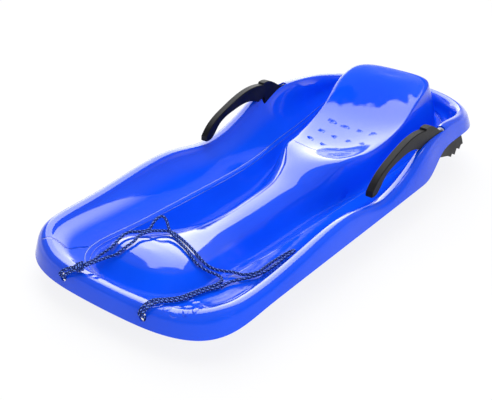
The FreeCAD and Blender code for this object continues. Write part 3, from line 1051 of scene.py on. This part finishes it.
@dataclass
class HullForm:
    """Guide rings of the moulding, in millimetres, as in the part's source."""

    length: float = 890.0
    beam: float = 404.0
    height: float = 150.0
    rim_width: float = 34.0
    rim_profile: tuple[Point, ...] = (
        (0.0, 0.0, 0.0), (0.118, 0.5, 0.0), (0.235, 0.92, 0.0),
        (0.5, 1.0, 1.0), (0.794, 1.0, 0.0), (1.0, 1.0, 0.0),
    )
    front_inset: float = 0.8
    rear_inset: float = 0.85
    rim_drop: float = 0.33
    rim_drop_limit: float = 15.0
    rim_overshoot: float = 3.0
    lip_bow: float = 26.0
    lip_bow_spread: float = 40.0
    sections: tuple[float, ...] = (-0.36, -0.286, -0.168, 0.0, 0.056, 0.11, 0.168, 0.27, 0.337)
    seat_lip: int = 5
    columns: tuple[float, ...] = (
        -0.36, -0.328, -0.294, -0.258, -0.213, -0.163, -0.107, -0.05, 0.0, 0.039, 0.067,
        0.088, 0.101, 0.115, 0.133, 0.163, 0.197, 0.23, 0.26, 0.288, 0.312, 0.337,
    )
    corner_columns: int = 8
    crown: tuple[tuple[float, float], ...] = (
        (-0.501, 0.413), (-0.472, 0.44), (-0.449, 0.487), (-0.418, 0.52), (-0.344, 0.527),
        (-0.244, 0.567), (-0.182, 0.613), (-0.115, 0.627), (-0.045, 0.547), (0.004, 0.493),
        (0.056, 0.527), (0.113, 0.633), (0.17, 0.78), (0.225, 0.82), (0.264, 0.827),
        (0.363, 0.76), (0.449, 0.713), (0.498, 0.707),
    )
    edge: tuple[tuple[float, float], ...] = (
        (-0.501, 0.247), (-0.472, 0.267), (-0.427, 0.333), (-0.371, 0.4), (0.174, 0.407),
        (0.208, 0.56), (0.242, 0.633), (0.337, 0.613), (0.498, 0.533),
    )
    outline: tuple[tuple[float, float], ...] = (
        (-0.501, 1.02), (-0.371, 1.015), (0.168, 1.0), (0.225, 0.96), (0.337, 0.93), (0.498, 0.93),
    )
    wall_steps: tuple[tuple[float, float], ...] = ((0.62, 0.42), (0.28, 0.12))
    rings: tuple[tuple[str, float, float, tuple[float, ...], tuple[float, ...]], ...] = (
        ("crease_outer", -0.466, 0.465,
         (0.515, 0.52, 0.53, 0.53, 0.545, 0.565, 0.59, 0.615, 0.635),
         (0.395, 0.36, 0.32, 0.287, 0.267, 0.267, 0.28, 0.3, 0.347, 0.4, 0.507)),
        ("crease_inner", -0.461, 0.462,
         (0.495, 0.5, 0.515, 0.515, 0.53, 0.545, 0.57, 0.6, 0.62),
         (0.38, 0.347, 0.307, 0.267, 0.247, 0.247, 0.26, 0.28, 0.327, 0.38, 0.487)),
        ("channel_outer", -0.456, 0.457,
         (0.475, 0.46, 0.46, 0.46, 0.48, 0.505, 0.535, 0.57, 0.59),
         (0.38, 0.333, 0.253, 0.153, 0.14, 0.153, 0.18, 0.227, 0.293, 0.36, 0.473)),
        ("channel_floor", -0.449, 0.452,
         (0.45, 0.415, 0.375, 0.38, 0.415, 0.455, 0.485, 0.525, 0.555),
         (0.4, 0.347, 0.227, 0.067, 0.067, 0.093, 0.12, 0.2, 0.28, 0.36, 0.493)),
        ("flank_foot", -0.441, 0.445,
         (0.425, 0.375, 0.297, 0.307, 0.36, 0.415, 0.45, 0.49, 0.52),
         (0.433, 0.387, 0.267, 0.047, 0.06, 0.1, 0.16, 0.24, 0.347, 0.453, 0.587)),
        ("flank", -0.431, 0.437,
         (0.395, 0.327, 0.228, 0.248, 0.317, 0.386, 0.415, 0.455, 0.485),
         (0.473, 0.427, 0.32, 0.147, 0.173, 0.267, 0.333, 0.4, 0.493, 0.68, 0.8)),
        ("crest_outer", -0.419, 0.427,
         (0.356, 0.267, 0.163, 0.188, 0.257, 0.337, 0.371, 0.42, 0.445),
         (0.513, 0.473, 0.367, 0.247, 0.28, 0.373, 0.5, 0.493, 0.613, 0.88, 1.0)),
        ("crest_inner", -0.405, 0.413,
         (0.287, 0.188, 0.1, 0.129, 0.198, 0.287, 0.322, 0.376, 0.396),
         (0.547, 0.52, 0.413, 0.307, 0.34, 0.447, 0.533, 0.5, 0.587, 0.893, 1.02)),
        ("pan", -0.391, 0.396,
         (0.139, 0.08, 0.05, 0.07, 0.109, 0.149, 0.158, 0.188, 0.208),
         (0.567, 0.547, 0.447, 0.333, 0.373, 0.487, 0.513, 0.44, 0.54, 0.827, 1.0)),
        ("spine", -0.384, 0.387,
         (0.0, 0.0, 0.0, 0.0, 0.0, 0.0, 0.0, 0.0, 0.0),
         (0.567, 0.547, 0.453, 0.333, 0.38, 0.493, 0.513, 0.427, 0.527, 0.807, 0.987)),
    )
    rim_front_fullness: float = 3.1
    wall_front_fullness: float = 2.8
    rim_rear_fullness: float = 2.1
    floor_front_fullness: float = 2.4
    backrest_fullness: float = 3.4

    def along(self, table: tuple[tuple[float, float], ...], y: float, scale: float) -> float:
        """Reads a table of shares at y and scales it."""
        return scale * ease(y / self.length, [row[0] for row in table], [row[1] for row in table])

    def crown_height(self, y: float) -> float:
        """Height of the rim's crown at y."""
        return self.along(self.crown, y, self.height)

    def edge_height(self, y: float) -> float:
        """Height of the skirt's lower edge at y."""
        return self.along(self.edge, y, self.height)

    def ring_level(self, front: float, rear: float, levels: tuple[float, ...], y: float) -> float:
        """Height of an inner ring at y, carried round its two ends.

        Args:
            front: Its front end as a share of the length.
            rear: Its rear end as a share of the length.
            levels: Its heights as shares of the height.
            y: The place.

        Returns:
            The height.
        """
        first, last = self.sections[0], self.sections[-1]
        if y < first * self.length:
            t = (y / self.length - front) / (first - front)
            return self.height * (levels[0] + (levels[1] - levels[0]) * t)
        if y > last * self.length:
            t = (y / self.length - last) / (rear - last)
            rise = levels[-1] - levels[-2]
            return self.height * (levels[-2] + rise * math.sin(math.pi / 2 * min(t, 1.0)))
        return self.height * ease(y / self.length, list(self.sections), list(levels[1:-1]))

    def ring_width(self, widths: tuple[float, ...], y: float) -> float:
        """Half width of an inner ring at y."""
        return self.beam / 2 * ease(y / self.length, list(self.sections), list(widths))

    def wall_top(self, y: float) -> float:
        """Height where the rolled rim turns into the inner wall.

        Args:
            y: The place.

        Returns:
            The height.
        """
        _, front, rear, _, levels = self.rings[0]
        rise = self.crown_height(y) - self.ring_level(front, rear, levels, y)
        return self.crown_height(y) - min(self.rim_drop_limit, self.rim_drop * rise)

    def ring_points(self, front: float, rear: float, half_width: Callable[[float], float],
                    level: Callable[[float], float], front_full: float, rear_full: float,
                    bow: float = 0.0) -> list[Point]:
        """One guide ring, from the front centre round the left side to the rear.

        Args:
            front: Y of its front end.
            rear: Y of its rear end.
            half_width: Gives its half width at a y.
            level: Gives its height at a y.
            front_full: Fullness of its front corner, 2 is an ellipse.
            rear_full: Fullness of its rear corner.
            bow: How far it bows forward at the seat's lip.

        Returns:
            Its points.
        """
        first, last = self.sections[0] * self.length, self.sections[-1] * self.length
        points = []
        for k in range(self.corner_columns):
            turn = math.pi / 2 * k / self.corner_columns
            x = half_width(first) * math.sin(turn) ** (2 / front_full)
            y = first - (first - front) * math.cos(turn) ** (2 / front_full)
            points.append((x, y, level(y)))
        for share in self.columns:
            y = share * self.length
            off = (share - self.sections[self.seat_lip]) * self.length / self.lip_bow_spread
            points.append((half_width(y), y - bow * math.exp(-off**2), level(y)))
        for k in range(1, self.corner_columns + 1):
            turn = math.pi / 2 * k / self.corner_columns
            x = half_width(last) * math.cos(turn) ** (2 / rear_full)
            y = last + (rear - last) * math.sin(turn) ** (2 / rear_full)
            points.append((x if k < self.corner_columns else 0.0, y, level(y)))
        return points

    def cage(self) -> np.ndarray:
        """All guide rings from the skirt's edge to the spine.

        Returns:
            Rings by columns by three, in metres.
        """
        half_beam = self.beam / 2
        found = []
        for across, share, over in self.rim_profile:
            inset = across * self.rim_width
            extra = over * self.rim_overshoot
            found.append(self.ring_points(
                inset * self.front_inset - self.length / 2,
                self.length / 2 - inset * self.rear_inset,
                lambda y: self.along(self.outline, y, half_beam) - inset,
                lambda y: self.edge_height(y) + extra
                + share * (self.crown_height(y) - self.edge_height(y)),
                self.rim_front_fullness, self.rim_rear_fullness,
            ))
        found[-1] = [(x, y, self.wall_top(y)) for x, y, _ in found[-1]]
        _, front, rear, widths, levels = self.rings[0]
        rim_front = self.rim_width * self.front_inset - self.length / 2
        rim_rear = self.length / 2 - self.rim_width * self.rear_inset
        for out, up in self.wall_steps:
            found.append(self.ring_points(
                front * self.length + out * (rim_front - front * self.length),
                rear * self.length + out * (rim_rear - rear * self.length),
                lambda y: self.ring_width(widths, y)
                + out * (half_beam - self.rim_width - self.ring_width(widths, y)),
                lambda y: self.ring_level(front, rear, levels, y)
                + up * (self.wall_top(y) - self.ring_level(front, rear, levels, y)),
                self.wall_front_fullness, self.rim_rear_fullness,
            ))
        crest = next(row for row in self.rings if row[0] == "crest_outer")[3][self.seat_lip]
        for name, front, rear, widths, levels in self.rings:
            share = widths[self.seat_lip] / crest
            low = name.startswith(("crease", "channel"))
            found.append(self.ring_points(
                front * self.length, rear * self.length,
                lambda y: self.ring_width(widths, y),
                lambda y: self.ring_level(front, rear, levels, y),
                self.floor_front_fullness,
                self.floor_front_fullness if low else self.backrest_fullness,
                self.lip_bow * max(0.0, 1 - share**2),
            ))
        return np.array(found) * MM


@dataclass
class Hull:
    """The blue moulding: skin and wall, keels, lugs, slots and rope holes.

    The places, radii and lifts of grooves, dents and grips are in millimetres. Each crisp ring
    has the share of the way to its neighbours at which a ring is added on each side.
    """

    form: HullForm = field(default_factory=HullForm)
    wall: float = 3.5 * MM
    per_ring: int = 5
    per_column: int = 6
    crisp_rings: tuple[tuple[int, float], ...] = ((4, 0.3), (14, 0.28))
    sharp_angle: float = 40.0
    grooves: tuple[tuple[tuple[float, float], ...], ...] = (
        ((-53, 107), (-40, 108), (-23, 109), (-7, 112), (3, 117)),
        ((-156, -403), (-146, -393), (-134, -392), (-121, -394), (-117, -390), (-114, -377),
         (-107, -365)),
    )
    groove_reach: float = 7.0
    groove_fade: float = 1.5
    off_grooves: float = 1000.0
    ball_segments: int = 20
    ball_rings: int = 10
    dent_columns: tuple[float, ...] = (-48.0, -18.0, 12.0, 42.0)
    dent_rows: tuple[float, ...] = (146.0, 184.0, 222.0)
    dent_radii: Point = (5.5, 5.5, 3.0)
    dent_lift: float = 1.9
    dent_ring: float = 16.0
    grip_places: tuple[tuple[float, float], ...] = (
        (108, -419), (114, -406), (124, -395), (122, -377), (122, -422), (134, -412), (144, -403),
        (151, -389), (110, -375),
    )
    grip_radii: Point = (7.5, 5.2, 2.4)
    grip_lift: float = -1.3
    grip_ring: float = 3.5
    slot_centre: float = 174.0 * MM
    slot_half_width: float = 7.3 * MM
    slot_front: float = 159.8 * MM
    slot_rear: float = 234.24 * MM
    slot_low: float = 86.0 * MM
    slot_high: float = 180.0 * MM
    slot_radius: float = 3.0 * MM
    slot_corner_steps: int = 5
    hole_diameter: float = 13.0 * MM
    hole_place: Point = (79.0 * MM, -438.0 * MM, 52.5 * MM)
    hole_tilt: float = 18.0
    hole_depth: float = 17.0 * MM
    hole_through_share: float = 2.2
    round_sides: int = 48
    keel_offset: float = 72.0 * MM
    keel_middle: float = -28.0 * MM
    keel_flat: float = 250.0 * MM
    keel_run: float = 88.0 * MM
    keel_rise: float = 24.0 * MM
    keel_width: float = 14.0 * MM
    keel_draft: float = 3.0 * MM
    keel_steps: int = 48
    pivot: tuple[float, float] = (200.25 * MM, 100.0 * MM)
    pin_diameter: float = 6.0 * MM
    lug_starts: tuple[float, float] = (163.2 * MM, 181.3 * MM)
    lug_thickness: float = 3.5 * MM
    lug_radius: float = 9.0 * MM
    lug_throat: float = 4.8 * MM
    lug_steepest: float = 0.35

    def with_ghosts(self, cage: np.ndarray) -> np.ndarray:
        """Adds a row and a column on each side, so that both halves meet smoothly.

        Args:
            cage: Guide points, rings by columns by three.

        Returns:
            The wider grid.
        """
        mirror = np.array([-1.0, 1.0, 1.0])
        other = cage * mirror
        wide = np.concatenate([other[:, 1:2], cage, other[:, -2:-1]], axis=1)
        before = 2 * wide[:1] - wide[1:2]
        return np.concatenate([before, wide, wide[-2:-1] * mirror], axis=0)

    def weights(self, guides: int, per_span: int) -> np.ndarray:
        """Weights of a uniform cubic curve on its guide points.

        Args:
            guides: Guide points without the two ghosts.
            per_span: Steps in each span.

        Returns:
            One row a step, one column a guide point.
        """
        rows = []
        for step in range((guides - 1) * per_span + 1):
            span = min(step // per_span, guides - 2)
            t = step / per_span - span
            row = np.zeros(guides + 2)
            row[span:span + 4] = [
                (1 - t) ** 3 / 6, (3 * t**3 - 6 * t**2 + 4) / 6,
                (-3 * t**3 + 3 * t**2 + 3 * t + 1) / 6, t**3 / 6,
            ]
            rows.append(row)
        return np.array(rows)

    def supported(self, cage: np.ndarray) -> tuple[np.ndarray, np.ndarray]:
        """Adds a ring close on each side of the rings that fold crisply.

        Args:
            cage: Guide points, rings by columns by three.

        Returns:
            The cage with the added rings, and each ring's place among the first ones.
        """
        rings, places = [], []
        shares = dict(self.crisp_rings)
        for k, ring in enumerate(cage):
            share = shares.get(k)
            if share:
                rings += [ring + share * (cage[k - 1] - ring), ring, ring + share * (cage[k + 1] - ring)]
                places += [k - share, k, k + share]
            else:
                rings.append(ring)
                places.append(k)
        return np.array(rings), np.array(places, dtype=float)

    def mark_grooves(self, mesh: bpy.types.Mesh) -> None:
        """Writes how far each vertex is from the fine grooves, with a sign for the side.

        Args:
            mesh: The hull's skin.
        """
        points = coordinates(mesh)[:, :2] / MM
        off = np.full(len(points), self.off_grooves)
        for groove in self.grooves:
            corners = np.array(groove, dtype=float)
            for start, end in zip(corners, corners[1:]):
                along = end - start
                share = np.clip((points - start) @ along / (along @ along), 0.0, 1.0)
                gap = points - start - share[:, None] * along
                reach = np.hypot(gap[:, 0], gap[:, 1])
                side = np.sign(along[0] * gap[:, 1] - along[1] * gap[:, 0])
                off = np.where(reach < np.abs(off), reach * np.where(side == 0, 1.0, side), off)
        write_attribute(mesh, "groove_off", off * MM)
        near = self.groove_fade - np.abs(off) / self.groove_reach
        write_attribute(mesh, "groove_near", np.clip(near, 0.0, 1.0))

    def skin(self, name: str) -> bpy.types.Object:
        """Makes the left half of the outer skin and mirrors it.

        Args:
            name: The name of the object.

        Returns:
            The open skin, its faces pointing out, with a ring attribute.
        """
        cage, places = self.supported(self.form.cage())
        down = self.weights(cage.shape[0], self.per_ring)
        across = self.weights(cage.shape[1], self.per_column)
        points = np.einsum("ri,ijk,cj->rck", down, self.with_ghosts(cage), across)
        points[:, 0, 0] = 0.0
        points[:, -1, 0] = 0.0
        points[-1, :, 0] = 0.0
        rows, columns = points.shape[:2]
        obj = primitive(
            name, bpy.ops.mesh.primitive_grid_add,
            x_subdivisions=columns - 1, y_subdivisions=rows - 1, size=1.0,
        )
        place_vertices(obj.data, points.reshape(-1, 3))
        spread = np.concatenate([[2 * places[0] - places[1]], places, [2 * places[-1] - places[-2]]])
        write_attribute(obj.data, "ring", np.repeat(down @ spread, columns))
        mirror = obj.modifiers.new("other_half", "MIRROR")
        mirror.use_clip = True
        mirror.use_mirror_merge = True
        mirror.merge_threshold = MERGE_WITHIN
        finish_modifiers(obj)
        face_outwards(obj, MERGE_WITHIN)
        if sum(face.normal.z * face.area for face in obj.data.polygons) < 0:
            obj.data.flip_normals()
        self.mark_grooves(obj.data)
        return obj

    def balls(self, name: str, places: list[tuple[float, float]], radii: Point, lift: float,
              ring: float, skin: BVHTree) -> bpy.types.Object:
        """Sets flattened balls along the skin, each turned to lie flat on it.

        Args:
            name: The name of the object.
            places: X and Y of each ball.
            radii: Half sizes of a ball.
            lift: How far its centre is above the skin.
            ring: Value of the hull's ring attribute there, which sets the gloss.
            skin: The outer skin.

        Returns:
            The balls as one object.
        """
        made = []
        for x, y in places:
            point, normal = plumb(skin, x * MM, y * MM)
            normal = normal if normal.z > 0 else -normal
            ball = primitive(
                name, bpy.ops.mesh.primitive_uv_sphere_add,
                segments=self.ball_segments, ring_count=self.ball_rings, radius=1.0,
                location=point + normal * lift * MM, rotation=normal.to_track_quat("Z", "Y").to_euler(),
                scale=[radius * MM for radius in radii],
            )
            write_attribute(ball.data, "ring", np.full(len(ball.data.vertices), ring))
            made.append(ball)
        return joined(made)

    def slot_cutter(self, side: Side) -> bpy.types.Object:
        """Makes the cut for one lever's slot, with rounded corners.

        Args:
            side: The side it is on.

        Returns:
            The closed cutter.
        """
        size = (2 * self.slot_half_width, self.slot_rear - self.slot_front, self.slot_high - self.slot_low)
        middle = (
            side.value * self.slot_centre, (self.slot_front + self.slot_rear) / 2,
            (self.slot_low + self.slot_high) / 2,
        )
        obj = primitive(
            "slot_cutter", bpy.ops.mesh.primitive_cube_add, size=1.0, location=middle, scale=size,
        )
        for edge in obj.data.edges:
            low, high = (obj.data.vertices[k].co for k in edge.vertices)
            edge.select = abs(low.z - high.z) > self.slot_half_width
        for face in obj.data.polygons:
            face.select = False
        bpy.ops.object.mode_set(mode="EDIT")
        bpy.ops.mesh.select_mode(type="EDGE")
        bpy.ops.mesh.bevel(offset=self.slot_radius, segments=self.slot_corner_steps)
        bpy.ops.object.mode_set(mode="OBJECT")
        return obj

    def hole_cutter(self, side: Side) -> bpy.types.Object:
        """Makes the cut for one rope hole.

        Args:
            side: The side it is on.

        Returns:
            The closed cutter.
        """
        tilt = math.radians(self.hole_tilt)
        outward = Vector((0.0, -math.cos(tilt), math.sin(tilt)))
        x, y, z = self.hole_place
        start = Vector((side.value * x, y, z)) - outward * self.hole_depth
        reach = self.hole_through_share * self.hole_depth
        return primitive(
            "rope_hole_cutter", bpy.ops.mesh.primitive_cylinder_add,
            vertices=self.round_sides, radius=self.hole_diameter / 2, depth=reach,
            location=start + outward * reach / 2, rotation=outward.to_track_quat("Z", "X").to_euler(),
        )

    def keel(self, side: Side, skin: BVHTree) -> bpy.types.Object:
        """Makes one keel, flat where it stands and rising to its ends.

        Args:
            side: The side it is on.
            skin: The outer skin, which its top follows.

        Returns:
            The keel.
        """
        obj = primitive("keel", bpy.ops.mesh.primitive_cube_add, size=1.0, location=(0.0, 0.0, 0.5))
        bpy.ops.object.mode_set(mode="EDIT")
        bpy.ops.mesh.select_all(action="SELECT")
        bpy.ops.mesh.subdivide(number_cuts=1)
        for k in range(1, self.keel_steps):
            bpy.ops.mesh.select_all(action="SELECT")
            bpy.ops.mesh.bisect(plane_co=(0.0, k / self.keel_steps - 0.5, 0.0), plane_no=(0.0, 1.0, 0.0))
        bpy.ops.object.mode_set(mode="OBJECT")
        end = self.keel_flat / 2 + self.keel_run
        placed = []
        for x, y, z in coordinates(obj.data):
            run = 2 * y * end
            past = max(0.0, abs(run) - self.keel_flat / 2) / self.keel_run
            low = self.keel_rise * past**2
            half = self.keel_width / 2 + self.keel_draft * z
            at = (side.value * self.keel_offset + 2 * x * half, self.keel_middle + run)
            high = plumb(skin, *at)[0].z - self.wall / 2
            placed.append((*at, low + (high - low) * z if high > low else high))
        place_vertices(obj.data, np.array(placed))
        return obj

    def lug(self, side: Side, start: float, skin: BVHTree) -> bpy.types.Object:
        """Makes one lug with its bore and its snap-in throat.

        Args:
            side: The side it is on.
            start: Where it begins in X on the left.
            skin: The outer skin, which its top follows.

        Returns:
            The lug.
        """
        y, z = self.pivot
        middle = side.value * (start + self.lug_thickness / 2)
        obj = primitive(
            "lug", bpy.ops.mesh.primitive_cube_add,
            size=1.0, location=(middle, y, z + self.lug_radius / 2),
            scale=(self.lug_thickness, 2 * self.lug_radius, self.lug_radius),
        )
        placed = []
        for px, py, pz in coordinates(obj.data):
            point, normal = plumb(skin, px, py)
            if pz > z + self.lug_radius / 2 and point is not None:
                pz = point.z - self.wall / 2 / max(abs(normal.z), self.lug_steepest)
            placed.append((px, py, pz))
        place_vertices(obj.data, np.array(placed))
        for radius, thick, operation in (
            (self.lug_radius, self.lug_thickness, "UNION"),
            (self.pin_diameter / 2, 2 * self.lug_thickness, "DIFFERENCE"),
        ):
            boolean(obj, primitive(
                "lug_tool", bpy.ops.mesh.primitive_cylinder_add, vertices=self.round_sides,
                radius=radius, depth=thick, location=(middle, y, z), rotation=(0.0, math.pi / 2, 0.0),
            ), operation)
        boolean(obj, primitive(
            "lug_tool", bpy.ops.mesh.primitive_cube_add,
            size=1.0, location=(middle, y, z - self.lug_radius),
            scale=(2 * self.lug_thickness, self.lug_throat, 2 * self.lug_radius),
        ), "DIFFERENCE")
        return obj

    def build(self, finish: bpy.types.Material) -> None:
        """Makes the whole moulding in place of the plain one.

        Args:
            finish: The hull's material.
        """
        hull = self.skin("hull_moulding")
        skin = BVHTree.FromObject(hull, bpy.context.evaluated_depsgraph_get())
        wall = hull.modifiers.new("wall", "SOLIDIFY")
        wall.thickness = self.wall
        wall.offset = -1.0
        finish_modifiers(hull)
        cutters = [self.balls(
            "seat_dents", [(x, y) for y in self.dent_rows for x in self.dent_columns],
            self.dent_radii, self.dent_lift, self.dent_ring, skin,
        )]
        pieces = [hull]
        for side in Side:
            cutters += [self.slot_cutter(side), self.hole_cutter(side)]
            pieces.append(self.keel(side, skin))
            pieces += [self.lug(side, start, skin) for start in self.lug_starts]
        pieces.append(self.balls(
            "foot_grips", self.grip_places, self.grip_radii, self.grip_lift, self.grip_ring, skin,
        ))
        boolean(hull, joined(cutters), "DIFFERENCE")
        joined(pieces)
        smooth_by_angle(hull, self.sharp_angle)
        hull.data.materials.clear()
        hull.data.materials.append(finish)
        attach(hull, SLED)
        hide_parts("hull_shell")
        log.info("%s: %d faces", hull.name, len(hull.data.polygons))


# Levers and pins


@dataclass
class Brakes:
    """The two brake levers and their pins, which keep their own solids."""

    lever_nodes: tuple[str, str] = ("brake_lever_left", "brake_lever_right")
    pin_nodes: tuple[str, str] = ("pivot_pin_left", "pivot_pin_right")

    def dress(self, names: tuple[str, str], finish: bpy.types.Material) -> None:
        """Gives nodes of the frame their finish.

        Args:
            names: The nodes.
            finish: Their material.
        """
        for name in names:
            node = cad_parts[name]
            node.data.materials.clear()
            node.data.materials.append(finish)
            log.info("%s dressed", name)

    def build(self) -> None:
        """Dresses the levers and the pins."""
        self.dress(self.lever_nodes, LeverPlastic().material())
        self.dress(self.pin_nodes, PinSteel().material())


def main() -> None:
    """Builds the sled in its studio."""
    logging.basicConfig(level=logging.INFO, format="%(message)s")
    Studio().build()
    TowRope().build(RopeBraid().material())
    Hull().build(HullPlastic().material())
    Brakes().build()


if __name__ == "__main__":
    main()
